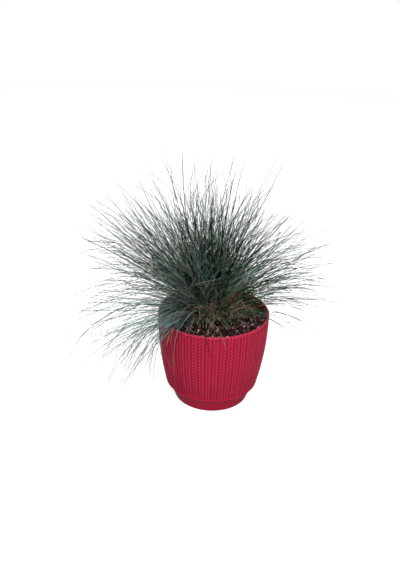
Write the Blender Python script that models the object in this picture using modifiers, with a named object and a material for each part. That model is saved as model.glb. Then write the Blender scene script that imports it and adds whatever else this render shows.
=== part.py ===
"""Potted blue fescue clump.

A knit-patterned plastic pot, the potting soil in it, the crown of the clump, the tufts of
leaves that grow from the crown, and a few single leaves that reach past the tufts.

Metres, +Z up. The origin is the centre of the pot's flat base, and the front is -Y.
"""

import math
import random

import bmesh
import bpy
import numpy as np
from mathutils import Vector, noise

GAP = 0.0003  # left between pieces that touch

# Pot: the outer radius runs from the rim down to the chin, then steps in to the foot.
POT_HEIGHT = 0.1055
RIM_RADIUS = 0.0614
BODY_SWELL = 0.0018  # linear term of the body's outline
BODY_TAPER = 0.0108  # square term of the body's outline
CHIN_Z = 0.0212
CHIN_DROP = 0.0036  # height over which the chin rounds in to the foot
FOOT_TOP_RADIUS = 0.0485
FOOT_RADIUS = 0.0422
FOOT_EDGE = 0.0015
LIP_HEIGHT = 0.0022
WALL = 0.0024
FLOOR = 0.0030
STITCH_COLUMNS = 50
RIB_DEPTH = 0.0007
BODY_RINGS = 4
INNER_RINGS = 2

# Soil: it fills the pot to just under the rim.
SOIL_TOP = 0.0955
SOIL_SIDES = 40
SOIL_BUMP = 0.0016
SOIL_TOP_RINGS = 5
SOIL_GRAIN = 0.012  # spacing of the bumps on top

# Crown: the dense dome of leaf bases, set a little back and left in the pot.
CROWN_X = -0.006
CROWN_Y = 0.008
CROWN_RADIUS = 0.027
CROWN_HEIGHT = 0.024
CROWN_SUNK = 0.008
CROWN_BUMP = 0.0010

# Leaves: tufts are spread over the crown by the golden angle, each a few keeled leaves.
TUFTS = 43  # fewer where a tuft would touch what already stands there
LEAVES_IN_TUFT = 3
TUFT_SPREAD = math.radians(7.5)  # between a tuft's axis and each of its leaves
LOWEST_ROOT = math.radians(75)  # from the crown's top
ROOT_BALL = 0.0033
LEAF_OFFSET = 0.0018  # of each leaf's base from the middle of the root ball
LEAF_BASE = 0.0013
LEAF_TIP = 0.00030
LEAF_STEPS = 4
LONG_LEAF_STEPS = 6
BEND_POWER = 1.7  # leaves leave the crown straight and bend more towards the tip
SAMPLES = 16  # along each straight of a leaf, where it is tested against the pot
GOLDEN_ANGLE = math.pi * (3 - math.sqrt(5))
THICK_SIDE = math.radians(205)  # where round the crown the tufts stand closest
THICKENING = 0.35
TRIES = 240  # at a clear place for each tuft
LEAST_PLAY = 4  # degrees

# What the leaves at the crown's edge do, for each way round: (azimuth, lean from the vertical
# and droop in degrees, length). Azimuth 0 is the right side and 270 the front.
SECTORS = (
    (0, 66, 44, 0.111),
    (45, 64, 34, 0.116),
    (90, 62, 34, 0.116),
    (135, 66, 34, 0.120),
    (180, 68, 48, 0.126),
    (225, 66, 84, 0.132),
    (270, 52, 66, 0.088),
    (315, 58, 60, 0.086),
)
TOP_LEAN = 4
TOP_DROOP = 9
TOP_LENGTH = 0.128

# Single leaves that reach past the tufts: (azimuth, root's angle from the crown's top, lean,
# droop, length).
LONG_LEAVES = (
    (184, 70, 64, 46, 0.140),
    (356, 50, 42, 8, 0.142),
    (346, 66, 60, 64, 0.131),
    (20, 16, 8, 5, 0.163),
    (5, 24, 14, 14, 0.166),
    (166, 60, 52, 6, 0.159),
    (210, 76, 62, 92, 0.126),
    (223, 74, 65, 90, 0.149),
    (232, 76, 62, 96, 0.137),
    (244, 70, 58, 106, 0.124),
    (277, 70, 64, 82, 0.096),
)


def clear_scene():
    """Removes every object, so that the script can be run again."""
    for obj in list(bpy.data.objects):
        bpy.data.objects.remove(obj)


def collection(name):
    """A new collection linked to the scene."""
    made = bpy.data.collections.new(name)
    bpy.context.scene.collection.children.link(made)
    return made


def material(name, colour, roughness):
    """A plain Principled material."""
    made = bpy.data.materials.new(name)
    made.use_nodes = True
    shader = made.node_tree.nodes["Principled BSDF"]
    shader.inputs["Base Color"].default_value = (*colour, 1)
    shader.inputs["Roughness"].default_value = roughness
    made.diffuse_color = (*colour, 1)
    return made


def add_object(name, mesh, surface, home):
    """Puts a mesh into the collection as one object with one material."""
    obj = bpy.data.objects.new(name, mesh)
    mesh.materials.append(surface)
    home.objects.link(obj)
    return obj


def mesh_from(work, name, smooth_below=None):
    """Turns a bmesh into a mesh; faces that meet below the angle in degrees are smooth."""
    bmesh.ops.recalc_face_normals(work, faces=work.faces)
    mesh = bpy.data.meshes.new(name)
    work.to_mesh(mesh)
    work.free()
    if smooth_below is not None:
        mesh.shade_smooth()
        mesh.set_sharp_from_angle(angle=math.radians(smooth_below))
    return mesh


def evaluated(obj):
    """The mesh of an object as its modifiers or its bevel leave it."""
    graph = bpy.context.evaluated_depsgraph_get()
    return bpy.data.meshes.new_from_object(obj.evaluated_get(graph))


def turned(name, profile, sides, home):
    """A bmesh of the profile's (radius, height) points turned about the Z axis."""
    outline = bpy.data.meshes.new(name + "_outline")
    corners = [(radius, 0, height) for radius, height in profile]
    outline.from_pydata(corners, [(i, i + 1) for i in range(len(corners) - 1)], [])
    guide = bpy.data.objects.new(name + "_outline", outline)
    home.objects.link(guide)
    as_cutter(guide)
    screw = guide.modifiers.new("turn", "SCREW")
    screw.steps = screw.render_steps = sides
    screw.use_merge_vertices = True
    screw.merge_threshold = 1e-5
    work = bmesh.new()
    work.from_mesh(evaluated(guide))
    bpy.data.objects.remove(guide)
    return work


def body_radius(height):
    """The pot's outer radius between the rim and the chin."""
    down = (POT_HEIGHT - height) / (POT_HEIGHT - CHIN_Z)
    return RIM_RADIUS + BODY_SWELL * down - BODY_TAPER * down**2


def steps(start, end, count):
    """Evenly spaced values after start, the last of them end."""
    return [start + (end - start) * i / count for i in range(1, count + 1)]


def inner_wall():
    """(radius, height) points of the pot's smooth inside, from its floor up to the rim."""
    low = CHIN_Z + WALL / 2
    levels = [low] + steps(low, POT_HEIGHT, INNER_RINGS)
    foot = [(FOOT_RADIUS - WALL, FLOOR), (FOOT_TOP_RADIUS - WALL, low - CHIN_DROP)]
    return foot + [(body_radius(z) - WALL - RIB_DEPTH, z) for z in levels]


def inner_radius(height):
    """The radius of the pot's inside at a height."""
    radii, heights = zip(*inner_wall())
    return float(np.interp(height, heights, radii))


def pot_profile():
    """(radius, height) points from the middle of the inside floor over the rim to the base."""
    inside = [(0, FLOOR)] + inner_wall()
    lip = POT_HEIGHT - LIP_HEIGHT
    outside = [(RIM_RADIUS, POT_HEIGHT), (body_radius(lip), lip)]
    ribbed = [lip - LIP_HEIGHT / 2] + steps(lip - LIP_HEIGHT / 2, CHIN_Z, BODY_RINGS)
    outside += [(body_radius(z), z) for z in ribbed]
    chin = CHIN_Z - CHIN_DROP
    foot = [
        (FOOT_TOP_RADIUS, chin),
        (FOOT_RADIUS, FOOT_EDGE),
        (FOOT_RADIUS - FOOT_EDGE, 0),
        (0, 0),
    ]
    return inside + outside + foot


def make_pot(surface, home, tools):
    """The pot: a turned shell whose body has one upright rib for each column of stitches."""
    work = turned("pot", pot_profile(), 2 * STITCH_COLUMNS, tools)
    lip = POT_HEIGHT - LIP_HEIGHT
    for vert in work.verts:
        radius = math.hypot(vert.co.x, vert.co.y)
        on_body = CHIN_Z - CHIN_DROP / 2 < vert.co.z < lip - LIP_HEIGHT / 4
        if not on_body or radius < body_radius(vert.co.z) - WALL / 2:
            continue
        step = round(math.atan2(vert.co.y, vert.co.x) * STITCH_COLUMNS / math.pi)
        if step % 2:
            vert.co.xy *= (radius - RIB_DEPTH) / radius
    return add_object("pot", mesh_from(work, "pot", 40), surface, home)


def crown_dome(grow, sunk, bump):
    """A bmesh of the crown's dome, its flat underside sunk below the soil's top."""
    work = bmesh.new()
    bmesh.ops.create_uvsphere(work, u_segments=20, v_segments=12, radius=1)
    floor = -sunk / (CROWN_HEIGHT + grow)
    cut = bmesh.ops.bisect_plane(
        work,
        geom=work.verts[:] + work.edges[:] + work.faces[:],
        plane_co=(0, 0, floor),
        plane_no=(0, 0, -1),
        clear_outer=True,
    )
    rim = [part for part in cut["geom_cut"] if isinstance(part, bmesh.types.BMEdge)]
    bmesh.ops.contextual_create(work, geom=rim)
    for vert in work.verts:
        swell = bump * noise.noise(vert.co * 3) * (vert.co.z > floor + 0.05)
        vert.co.x *= CROWN_RADIUS + grow + swell
        vert.co.y *= CROWN_RADIUS + grow + swell
        vert.co.z *= CROWN_HEIGHT + grow + swell
        vert.co += Vector((CROWN_X, CROWN_Y, SOIL_TOP))
    return work


def make_crown(surface, home):
    """The crown: one dome of packed leaf bases."""
    mesh = mesh_from(crown_dome(0, CROWN_SUNK, CROWN_BUMP), "crown", 60)
    return add_object("crown", mesh, surface, home)


def make_soil(surface, home, tools):
    """The soil: it follows the pot's inside, is bumpy on top, and has a socket for the crown."""
    top_edge = inner_radius(SOIL_TOP) - GAP
    side = [(radius, z) for radius, z in inner_wall() if z < SOIL_TOP]
    profile = [(0, FLOOR + GAP)]
    profile += [(radius - GAP, max(z, FLOOR + GAP)) for radius, z in side]
    profile += [(radius, SOIL_TOP) for radius in [top_edge] + steps(top_edge, 0, SOIL_TOP_RINGS)]
    work = turned("soil", profile, SOIL_SIDES, tools)
    for vert in work.verts:
        inland = min(1, (top_edge - math.hypot(vert.co.x, vert.co.y)) / 0.004)
        if vert.co.z > SOIL_TOP - GAP and inland > 0:
            vert.co.z += SOIL_BUMP * inland * noise.noise(vert.co / SOIL_GRAIN)
    soil = add_object("soil", mesh_from(work, "soil", 40), surface, home)
    socket_mesh = mesh_from(crown_dome(GAP + CROWN_BUMP, CROWN_SUNK + GAP, 0), "socket")
    socket = add_object("crown_socket", socket_mesh, surface, tools)
    as_cutter(socket)
    cut = soil.modifiers.new("crown socket", "BOOLEAN")
    cut.operation = "DIFFERENCE"
    cut.object = socket
    return soil


def as_cutter(obj):
    """Marks an object as a helper that isn't part of the model."""
    obj.hide_render = True
    obj.display_type = "WIRE"


def sector(azimuth):
    """(lean, droop, length) of the edge leaves at an azimuth in radians."""
    turn = math.degrees(azimuth) % 360 / (360 / len(SECTORS))
    low = SECTORS[int(turn) % len(SECTORS)]
    high = SECTORS[(int(turn) + 1) % len(SECTORS)]
    share = (1 - math.cos(math.pi * (turn % 1))) / 2
    return [a + share * (b - a) for a, b in zip(low[1:], high[1:])]


def direction(azimuth, lean):
    """The unit vector that leans from the vertical towards an azimuth, both in radians."""
    level = math.sin(lean)
    return Vector((level * math.cos(azimuth), level * math.sin(azimuth), math.cos(lean)))


def root_point(azimuth, fall, lift):
    """A point at a height over the crown's surface, at an angle fall from its top."""
    across = (CROWN_RADIUS + lift) * math.sin(fall)
    return Vector(
        (
            CROWN_X + across * math.cos(azimuth),
            CROWN_Y + across * math.sin(azimuth),
            SOIL_TOP + (CROWN_HEIGHT + lift) * math.cos(fall),
        )
    )


def leaf_path(root, azimuth, lean, droop, length, count):
    """Points along a leaf of count straights that bends down by droop towards its tip."""
    points = [root.copy()]
    for i in range(count):
        bent = lean + droop * ((i + 0.5) / count) ** BEND_POWER
        points.append(points[-1] + direction(azimuth, bent) * (length / count))
    return points


def leaf_radius(along):
    """A leaf's half width at a share of its length."""
    return LEAF_TIP + (LEAF_BASE - LEAF_TIP) * (1 - along**1.3)


def straights(path):
    """An array of a leaf's straights: start, end, half width at the start and at the end."""
    count = len(path) - 1
    return np.array(
        [
            (*path[i], *path[i + 1], leaf_radius(i / count), leaf_radius((i + 1) / count))
            for i in range(count)
        ]
    )


def misses_pot(path):
    """Whether a leaf stays clear of the pot's wall and rim and of the soil."""
    for x0, y0, z0, x1, y1, z1, half_width, _ in straights(path):
        margin = half_width + GAP
        for share in steps(0, 1, SAMPLES):
            reach = math.hypot(x0 + share * (x1 - x0), y0 + share * (y1 - y0))
            height = z0 + share * (z1 - z0)
            if height - margin > POT_HEIGHT or reach - margin > RIM_RADIUS:
                continue
            on_soil = height - margin < SOIL_TOP + SOIL_BUMP
            if on_soil or reach + margin > inner_radius(POT_HEIGHT):
                return False
    return True


def apart(some, others):
    """Whether the closest points of every pair of straights are clear of each other."""
    if len(others) == 0:
        return True
    some, others = some[:, None], others[None]
    along = some[..., 3:6] - some[..., :3]
    across = others[..., 3:6] - others[..., :3]
    offset = some[..., :3] - others[..., :3]
    a, b, c = (along**2).sum(-1), (along * across).sum(-1), (along * offset).sum(-1)
    e, f = (across**2).sum(-1), (across * offset).sum(-1)
    s = np.clip((b * f - c * e) / np.maximum(a * e - b * b, 1e-18), 0, 1)
    t = np.clip((b * s + f) / e, 0, 1)
    s = np.clip((b * t - c) / a, 0, 1)
    between = np.linalg.norm(offset + s[..., None] * along - t[..., None] * across, axis=-1)
    width = some[..., 6] + s * (some[..., 7] - some[..., 6])
    width = width + others[..., 6] + t * (others[..., 7] - others[..., 6])
    return bool((between > width + GAP).all())


def is_clear(ball, paths, taken):
    """Whether a tuft misses the pot, the soil, all that is taken, and itself."""
    if not all(misses_pot(path) for path in paths):
        return False
    leaves = [straights(path) for path in paths]
    if not apart(np.vstack([ball, *leaves]), taken):
        return False
    return all(apart(leaf, other) for i, leaf in enumerate(leaves) for other in leaves[:i])


def leaf_curve(name, path, home):
    """A keeled, tapering leaf: a triangle swept along the path."""
    keel = bpy.data.curves.new(name + "_keel", "CURVE")
    keel.dimensions = "2D"
    outline = keel.splines.new("POLY")
    outline.points.add(2)
    for i, point in enumerate(outline.points):
        turn = math.pi / 2 + math.tau * i / 3
        point.co = (math.cos(turn), math.sin(turn), 0, 1)
    outline.use_cyclic_u = True
    section = bpy.data.objects.new(name + "_section", keel)
    home.objects.link(section)
    as_cutter(section)
    curve = bpy.data.curves.new(name, "CURVE")
    curve.dimensions = "3D"
    curve.bevel_mode = "OBJECT"
    curve.bevel_object = section
    curve.use_fill_caps = True
    spline = curve.splines.new("POLY")
    spline.points.add(len(path) - 1)
    for i, (point, place) in enumerate(zip(spline.points, path)):
        point.co = (*place, 1)
        point.radius = leaf_radius(i / (len(path) - 1))
    swept = bpy.data.objects.new(name, curve)
    home.objects.link(swept)
    return swept, section


def leaf_mesh(name, path, home):
    """The leaf's closed mesh, with its caps welded on."""
    swept, section = leaf_curve(name, path, home)
    work = bmesh.new()
    work.from_mesh(evaluated(swept))
    bmesh.ops.remove_doubles(work, verts=work.verts, dist=1e-6)
    bpy.data.objects.remove(swept)
    bpy.data.objects.remove(section)
    return mesh_from(work, name)


def make_leaf(name, path, surface, home):
    """One single leaf as its own object."""
    return add_object(name, leaf_mesh(name, path, home), surface, home)


def make_tuft(name, root, paths, surface, home, tools):
    """A tuft: a root ball joined with the leaves that fan out of it."""
    work = bmesh.new()
    bmesh.ops.create_icosphere(work, subdivisions=1, radius=ROOT_BALL)
    bmesh.ops.translate(work, verts=work.verts, vec=root)
    tuft = add_object(name, mesh_from(work, name), surface, home)
    for i, path in enumerate(paths):
        leaf = make_leaf(f"{name}_leaf_{i}", path, surface, tools)
        as_cutter(leaf)
        join = tuft.modifiers.new(f"leaf {i}", "BOOLEAN")
        join.operation = "UNION"
        join.object = leaf
    return tuft


def tuft_paths(index, dice, play):
    """The root of one tuft, and the paths of the leaves that fan out round its axis.

    The axis turns and leans by up to play degrees, the more the harder a place is to find.
    """
    fall = math.acos(1 - (index + 0.5) / TUFTS * (1 - math.cos(LOWEST_ROOT)))
    turn = index * GOLDEN_ANGLE
    azimuth = turn - THICKENING * math.sin(turn - THICK_SIDE)
    out = fall / LOWEST_ROOT
    edge_lean, edge_droop, edge_length = sector(azimuth)
    lean = TOP_LEAN + (edge_lean - TOP_LEAN) * out
    droop = TOP_DROOP + (edge_droop - TOP_DROOP) * out**2
    length = TOP_LENGTH + (edge_length - TOP_LENGTH) * out
    root = root_point(azimuth, fall, ROOT_BALL + GAP)
    azimuth += math.radians(dice.uniform(-play, play))
    lean = math.radians(max(lean + dice.uniform(-play, play / 3), 0))
    axis = direction(azimuth, lean)
    level = Vector((-math.sin(azimuth), math.cos(azimuth), 0))
    below = direction(azimuth, lean + math.pi / 2)
    roll = dice.uniform(0, math.tau)
    paths = []
    for i in range(LEAVES_IN_TUFT):
        turn = roll + math.tau * i / LEAVES_IN_TUFT
        aside = level * math.cos(turn) + below * math.sin(turn)
        ahead = (axis + aside * math.tan(TUFT_SPREAD)).normalized()
        paths.append(
            leaf_path(
                root + aside * LEAF_OFFSET,
                math.atan2(ahead.y, ahead.x),
                math.acos(ahead.z),
                math.radians(droop * dice.uniform(0.8, 1.2)),
                length * dice.uniform(0.84, 1.12),
                LEAF_STEPS,
            )
        )
    return root, paths


def make_leaves(surface, home, tools):
    """Places the long leaves, then each tuft where it touches nothing placed before."""
    taken = np.empty((0, 8))
    for i, (azimuth, fall, lean, droop, length) in enumerate(LONG_LEAVES, 1):
        turn, fall, lean, droop = map(math.radians, (azimuth, fall, lean, droop))
        root = root_point(turn, fall, LEAF_BASE)
        path = leaf_path(root, turn, lean, droop, length, LONG_LEAF_STEPS)
        taken = np.vstack([taken, straights(path)])
        make_leaf(f"long_leaf_{i}", path, surface, home)
    dice = random.Random(4)
    placed = 0
    for index in range(TUFTS):
        for attempt in range(TRIES):
            root, paths = tuft_paths(index, dice, LEAST_PLAY + attempt / 12)
            ball = np.array([(*root, *root * (1 + 1e-6), ROOT_BALL, ROOT_BALL)])
            if is_clear(ball, paths, taken):
                break
        else:
            continue
        placed += 1
        taken = np.vstack([taken, ball, *map(straights, paths)])
        make_tuft(f"leaf_tuft_{placed:02d}", root, paths, surface, home, tools)


def main():
    """Builds the potted clump."""
    clear_scene()
    home = collection("potted_fescue_clump")
    tools = collection("cutters")
    red = material("red plastic", (0.36, 0.02, 0.05), 0.45)
    earth = material("potting soil", (0.045, 0.028, 0.024), 0.95)
    straw = material("leaf bases", (0.20, 0.17, 0.09), 0.8)
    glaucous = material("blue-green leaf", (0.13, 0.20, 0.18), 0.6)
    make_pot(red, home, tools)
    make_soil(earth, home, tools)
    make_crown(straw, home)
    make_leaves(glaucous, home, tools)


main()
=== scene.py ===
"""Looks of the potted blue fescue clump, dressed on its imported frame.

The knit-patterned pot, the loose potting soil, the crown with its sheaths and the needle-fine
leaves stand for the plain solids of the frame. Metres, +Z up; the origin is the centre of the
pot's base, and the front is -Y. A Span runs from one value to another, and a Spread is a mean
with its deviation.
"""

import logging
import math
from dataclasses import dataclass, fields
from enum import Enum
from typing import Any

import bmesh
import bpy
import numpy as np
from mathutils import Matrix, Vector, noise


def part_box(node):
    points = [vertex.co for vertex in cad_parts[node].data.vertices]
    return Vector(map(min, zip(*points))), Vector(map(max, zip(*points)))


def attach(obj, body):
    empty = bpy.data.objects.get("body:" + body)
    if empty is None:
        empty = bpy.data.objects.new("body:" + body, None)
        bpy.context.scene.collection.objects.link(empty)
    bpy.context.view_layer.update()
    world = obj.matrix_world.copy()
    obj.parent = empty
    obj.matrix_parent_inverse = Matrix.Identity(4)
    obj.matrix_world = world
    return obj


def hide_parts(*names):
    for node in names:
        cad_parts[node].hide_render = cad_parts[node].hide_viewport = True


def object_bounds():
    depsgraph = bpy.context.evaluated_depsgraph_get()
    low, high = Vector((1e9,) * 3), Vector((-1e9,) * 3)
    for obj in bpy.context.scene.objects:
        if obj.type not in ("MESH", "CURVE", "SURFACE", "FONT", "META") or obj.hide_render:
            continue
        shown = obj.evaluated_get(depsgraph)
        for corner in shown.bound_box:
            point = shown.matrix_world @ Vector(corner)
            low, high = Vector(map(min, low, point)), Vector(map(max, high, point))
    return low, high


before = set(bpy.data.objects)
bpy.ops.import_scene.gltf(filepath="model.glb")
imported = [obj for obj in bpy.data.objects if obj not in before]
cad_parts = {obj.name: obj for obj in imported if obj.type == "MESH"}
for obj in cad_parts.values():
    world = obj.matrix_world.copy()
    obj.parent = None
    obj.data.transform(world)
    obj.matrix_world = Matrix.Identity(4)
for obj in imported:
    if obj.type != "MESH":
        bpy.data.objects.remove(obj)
cad_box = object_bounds()

LOG = logging.getLogger("fescue")
BODY = "root"
GOLDEN_ANGLE = math.pi * (3 - math.sqrt(5))
WELD = 1e-6
SEED = 11
SOIL_TOP = 0.0955
VIEW_SLOPE = math.radians(27.4)

Colour = tuple[float, float, float]
Ramp = tuple[Colour, Colour, Colour]
Pair = tuple[float, float]
Span = Pair
Spread = Pair
Dice = np.random.Generator
Mesh = bpy.types.Mesh
Socket = bpy.types.NodeSocket

FULL: Span = (0, 1)


# ---------------------------------------------------------------- meshes and objects


def mesh_from(work: bmesh.types.BMesh, name: str) -> Mesh:
    """Turns a closed bmesh into a smooth-shaded mesh whose faces point outwards.

    Args:
        work: The bmesh, which is freed.
        name: The mesh's name.

    Returns:
        The new mesh.
    """
    bmesh.ops.recalc_face_normals(work, faces=work.faces)
    mesh = bpy.data.meshes.new(name)
    work.to_mesh(mesh)
    work.free()
    mesh.shade_smooth()
    return mesh


def spun(profile: list[Pair], sides: int, name: str) -> Mesh:
    """Turns a profile that starts and ends on the Z axis into a closed round body.

    Args:
        profile: (radius, height) points.
        sides: How many faces go round.
        name: The mesh's name.

    Returns:
        The closed mesh.
    """
    work = bmesh.new()
    line = [work.verts.new((radius, 0, height)) for radius, height in profile]
    edges = [work.edges.new(pair) for pair in zip(line, line[1:])]
    bmesh.ops.spin(
        work,
        geom=line + edges,
        cent=(0, 0, 0),
        axis=(0, 0, 1),
        dvec=(0, 0, 0),
        angle=math.tau,
        steps=sides,
        use_merge=True,
        use_duplicate=False,
    )
    bmesh.ops.remove_doubles(work, verts=work.verts, dist=WELD)
    return mesh_from(work, name)


def steps_after(start: float, end: float, count: int) -> np.ndarray:
    """Even steps from a start, which is left out, to an end."""
    return np.linspace(start, end, count + 1)[1:]


def points_of(mesh: Mesh) -> np.ndarray:
    """Reads where a mesh's vertices are.

    Args:
        mesh: The mesh.

    Returns:
        An array with a row for each vertex.
    """
    flat = np.empty(len(mesh.vertices) * 3)
    mesh.vertices.foreach_get("co", flat)
    return flat.reshape(-1, 3)


def move_points(mesh: Mesh, places: np.ndarray) -> None:
    """Puts the mesh's vertices at new places, given in their own order."""
    mesh.vertices.foreach_set("co", places.astype(np.float32).ravel())
    mesh.update()


def add_attribute(mesh: Mesh, name: str, values: np.ndarray) -> None:
    """Stores one number for each vertex, which the materials read by name."""
    made = mesh.attributes.new(name, "FLOAT", "POINT")
    made.data.foreach_set("value", values.astype(np.float32).ravel())


@dataclass(frozen=True)
class PatchyTone:
    """Tones that change softly over a mesh: their middle, their swing and how fine they are."""

    middle: float
    swing: float
    scale: float

    def add_to(self, mesh: Mesh) -> None:
        """Stores each vertex's tone, held between 0 and 1."""
        tones = [self.middle + self.swing * noise.noise(Vector(p) * self.scale) for p in points_of(mesh)]
        add_attribute(mesh, "tone", np.clip(tones, 0, 1))


def placed(name: str, data: Any) -> bpy.types.Object:
    """Makes an object and links it to the scene.

    Args:
        name: The object's name.
        data: The mesh, light or camera that it shows.

    Returns:
        The new object, at the origin.
    """
    made = bpy.data.objects.new(name, data)
    bpy.context.scene.collection.objects.link(made)
    return made


def arrayed(template: Mesh, count: int, name: str) -> Mesh:
    """Joins copies of a template, all at one place, with an Array modifier that is applied.

    Args:
        template: The mesh of one copy, which is removed.
        count: How many copies there are.
        name: The joined mesh's name.

    Returns:
        The joined mesh, whose vertices come copy by copy.
    """
    source = placed(name + "_template", template)
    copies = source.modifiers.new("copies", "ARRAY")
    copies.count = count
    copies.use_relative_offset = False
    copies.use_constant_offset = True
    copies.constant_offset_displace = (0, 0, 0)
    graph = bpy.context.evaluated_depsgraph_get()
    joined = bpy.data.meshes.new_from_object(source.evaluated_get(graph))
    bpy.data.objects.remove(source)
    bpy.data.meshes.remove(template)
    joined.name = name
    return joined


def dress(mesh: Mesh, surface: bpy.types.Material, slot: str, *nodes: str) -> None:
    """Makes a mesh a piece of the object, with its finish and its place in the frame.

    Args:
        mesh: The finished mesh, in place.
        surface: Its material.
        slot: The record's material slot; not used.
        nodes: The frame's nodes that the piece stands for.
    """
    mesh.materials.clear()
    mesh.materials.append(surface)
    piece = placed(mesh.name, mesh)
    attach(piece, BODY)
    if nodes:
        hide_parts(*nodes)
    LOG.info("%s: %d faces", piece.name, len(mesh.polygons))


# ---------------------------------------------------------------- shading


class Shading:
    """A node tree, with short ways to add to it."""

    def __init__(self, tree: bpy.types.NodeTree) -> None:
        """Takes the tree that the nodes go into."""
        self.tree = tree

    def fill(self, node: bpy.types.Node, inputs: dict[Any, Any]) -> None:
        """Fills or links a node's inputs.

        Args:
            node: The node.
            inputs: A value or an output socket for each input's name or place.
        """
        for socket, value in inputs.items():
            if isinstance(value, Socket):
                self.tree.links.new(value, node.inputs[socket])
            else:
                node.inputs[socket].default_value = value

    def add(self, kind: str, inputs: dict[Any, Any] | None = None, **settings: Any) -> bpy.types.Node:
        """Adds a node.

        Args:
            kind: The node's type without the ShaderNode prefix.
            inputs: What its inputs are filled with or linked to.
            settings: The node's own properties.

        Returns:
            The new node.
        """
        made = self.tree.nodes.new("ShaderNode" + kind)
        for name, value in settings.items():
            setattr(made, name, value)
        self.fill(made, inputs or {})
        return made

    def attribute(self, name: str) -> Socket:
        """The number that a piece's vertices store under a name."""
        return self.add("Attribute", attribute_name=name).outputs["Fac"]

    def place(self) -> Socket:
        """The Object coordinates, in metres."""
        return self.add("TexCoord").outputs["Object"]

    def seen(self) -> Socket:
        """1 where the camera looks straight at the floor or the sky, and 0 for their light."""
        return self.add("LightPath").outputs["Is Camera Ray"]

    def mix(self, mask: Any, low: Any, high: Any, blend: str = "MIX") -> Socket:
        """Mixes two colours by a mask.

        Args:
            mask: The share of the second colour, a value or a socket.
            low: The colour where the mask is 0.
            high: The colour where the mask is 1.
            blend: How the second colour is laid on.

        Returns:
            The mixed colour.
        """
        colours = [(*c, 1) if isinstance(c, tuple) else c for c in (low, high)]
        inputs = {0: mask, 6: colours[0], 7: colours[1]}
        return self.add("Mix", inputs, data_type="RGBA", blend_type=blend).outputs[2]

    def ranged(self, value: Socket, source: Span = FULL, target: Span = FULL) -> Socket:
        """Maps a value from one span to another, held at the ends."""
        inputs = {0: value, 1: source[0], 2: source[1], 3: target[0], 4: target[1]}
        return self.add("MapRange", inputs, clamp=True).outputs[0]

    def group(self, tree: bpy.types.NodeTree, **inputs: float) -> Socket:
        """Places a shared effect, fills its inputs and gives its output."""
        return self.add("Group", inputs, node_tree=tree).outputs[0]


@dataclass
class SharedEffects:
    """The node groups that more than one finish uses."""

    mottle: bpy.types.NodeTree
    grain: bpy.types.NodeTree

    @classmethod
    def build(cls) -> "SharedEffects":
        """Builds every shared group once."""
        return cls(mottle=cls.mottle_group(), grain=cls.grain_group())

    @staticmethod
    def started(name: str, inputs: list[str], output: str) -> tuple[Shading, Any, Any]:
        """Starts a group with float inputs and one float output.

        Args:
            name: The group's name.
            inputs: Its inputs' names.
            output: Its output's name.

        Returns:
            The shading of its tree, its input node and its output node.
        """
        tree = bpy.data.node_groups.new(name, "ShaderNodeTree")
        for label in inputs:
            tree.interface.new_socket(label, in_out="INPUT", socket_type="NodeSocketFloat")
        tree.interface.new_socket(output, in_out="OUTPUT", socket_type="NodeSocketFloat")
        return Shading(tree), tree.nodes.new("NodeGroupInput"), tree.nodes.new("NodeGroupOutput")

    @classmethod
    def mottle_group(cls) -> bpy.types.NodeTree:
        """Builds soft patches as a mask from 0 to 1, with a scale and a contrast.

        Returns:
            The group.
        """
        shade, given, out = cls.started("mottle", ["Scale", "Contrast"], "Mask")
        inputs = {"Vector": shade.place(), "Scale": given.outputs["Scale"], "Detail": 3.0}
        patches = shade.add("TexNoise", inputs).outputs[0]
        centred = shade.add("Math", {0: patches, 1: 0.5}, operation="SUBTRACT").outputs[0]
        inputs = {0: centred, 1: given.outputs["Contrast"], 2: 0.5}
        spread = shade.add("Math", inputs, operation="MULTIPLY_ADD", use_clamp=True).outputs[0]
        shade.fill(out, {"Mask": spread})
        return shade.tree

    @classmethod
    def grain_group(cls) -> bpy.types.NodeTree:
        """Builds a fine rough height, with a scale and the share of its finest grain.

        Returns:
            The group.
        """
        shade, given, out = cls.started("grain", ["Scale", "Fineness"], "Height")
        inputs = {"Vector": shade.place(), "Scale": given.outputs["Scale"], "Detail": 4.0}
        inputs["Roughness"] = given.outputs["Fineness"]
        shade.fill(out, {"Height": shade.add("TexNoise", inputs).outputs[0]})
        return shade.tree


@dataclass(frozen=True)
class Patches:
    """Soft patches on a surface: how fine they are and how sharply they part."""

    scale: float
    contrast: float

    def mask(self, shade: Shading, effects: SharedEffects) -> Socket:
        """Places the patches in a material, as a mask from 0 to 1."""
        return shade.group(effects.mottle, Scale=self.scale, Contrast=self.contrast)


@dataclass(frozen=True)
class Grain:
    """A fine relief: its scale, its share of finest grain, its strength and its depth in metres."""

    scale: float
    fineness: float
    strength: float
    depth: float

    def normal(self, shade: Shading, effects: SharedEffects) -> Socket:
        """Places the relief in a material.

        Args:
            shade: The material's shading.
            effects: The shared node groups.

        Returns:
            The normal that the relief gives.
        """
        height = shade.group(effects.grain, Scale=self.scale, Fineness=self.fineness)
        inputs = {"Height": height, "Strength": self.strength, "Distance": self.depth}
        return shade.add("Bump", inputs).outputs[0]


def started_material(name: str) -> tuple[bpy.types.Material, Shading, bpy.types.Node]:
    """Starts a material.

    Args:
        name: The material's name.

    Returns:
        The material, the shading of its tree and its shader.
    """
    made = bpy.data.materials.new(name)
    made.use_nodes = True
    return made, Shading(made.node_tree), made.node_tree.nodes["Principled BSDF"]


# ---------------------------------------------------------------- finishes


EARTH_GRAIN = Grain(900.0, 0.7, 0.9, 0.0006)
PERLITE_GRAIN = Grain(900.0, 0.7, 0.9, 0.0003)


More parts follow.
